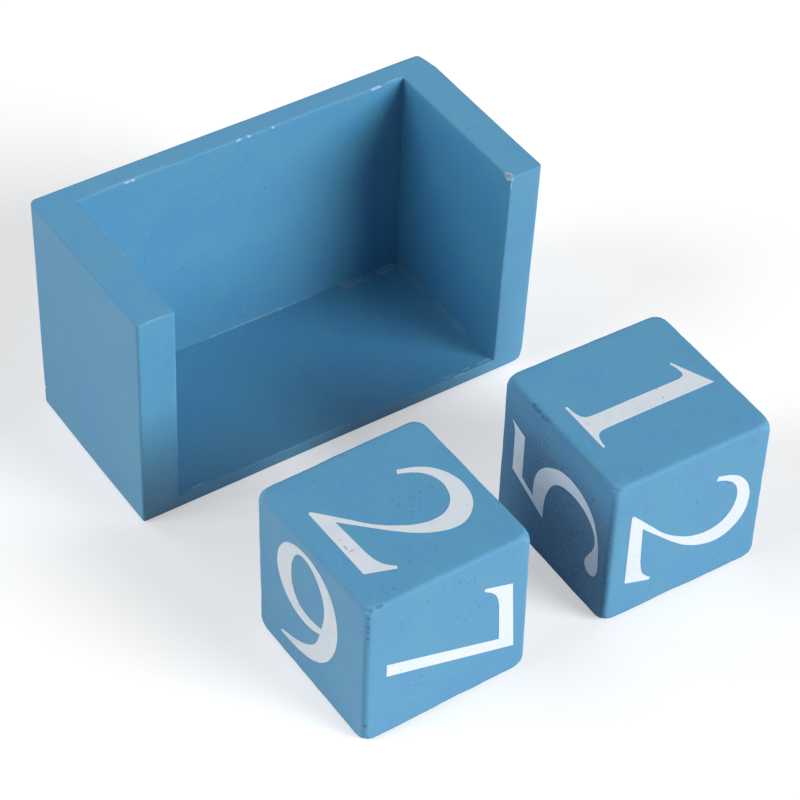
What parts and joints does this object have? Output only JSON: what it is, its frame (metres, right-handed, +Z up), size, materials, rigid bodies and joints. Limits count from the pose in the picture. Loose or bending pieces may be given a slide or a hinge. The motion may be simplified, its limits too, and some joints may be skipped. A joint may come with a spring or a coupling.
{
  "type": "perpetual desk calendar",
  "caption": "Small wooden tray, open at the front and top, with loose number cubes that show the date; stands on a desk.",
  "frame": {"origin": "centre of the tray's underside, on the surface that the calendar stands on", "axes": "+Z up; -Y out of the tray's open mouth, towards the cubes; +X to the right of someone who looks into the mouth"},
  "size_m": [0.1281, 0.147, 0.0694],
  "materials": {
    "blue_painted_wood": "matte",
    "white_numeral_paint": "matte",
    "pin_steel": "satin"
  },
  "bodies": {
    "tray": {"base_board": "blue_painted_wood", "back_board": "blue_painted_wood", "left_side": "blue_painted_wood", "right_side": "blue_painted_wood", "back_pin_left_low": "pin_steel", "back_pin_left_high": "pin_steel", "back_pin_right_low": "pin_steel", "back_pin_right_high": "pin_steel", "base_pin_left_front": "pin_steel", "base_pin_left_rear": "pin_steel", "base_pin_right_front": "pin_steel", "base_pin_right_rear": "pin_steel", "base_pin_back_left": "pin_steel", "base_pin_back_middle": "pin_steel", "base_pin_back_right": "pin_steel"},
    "left_cube": {"left_number_cube": "blue_painted_wood"},
    "right_cube": {"right_number_cube": "blue_painted_wood"}
  },
  "joints": [
    {"name": "left_cube_lift", "type": "slide", "parent": "tray", "child": "left_cube", "axis": [0, 0, 1], "range_m": [0, 0.08]},
    {"name": "right_cube_lift", "type": "slide", "parent": "tray", "child": "right_cube", "axis": [0, 0, 1], "range_m": [0, 0.08]}
  ]
}
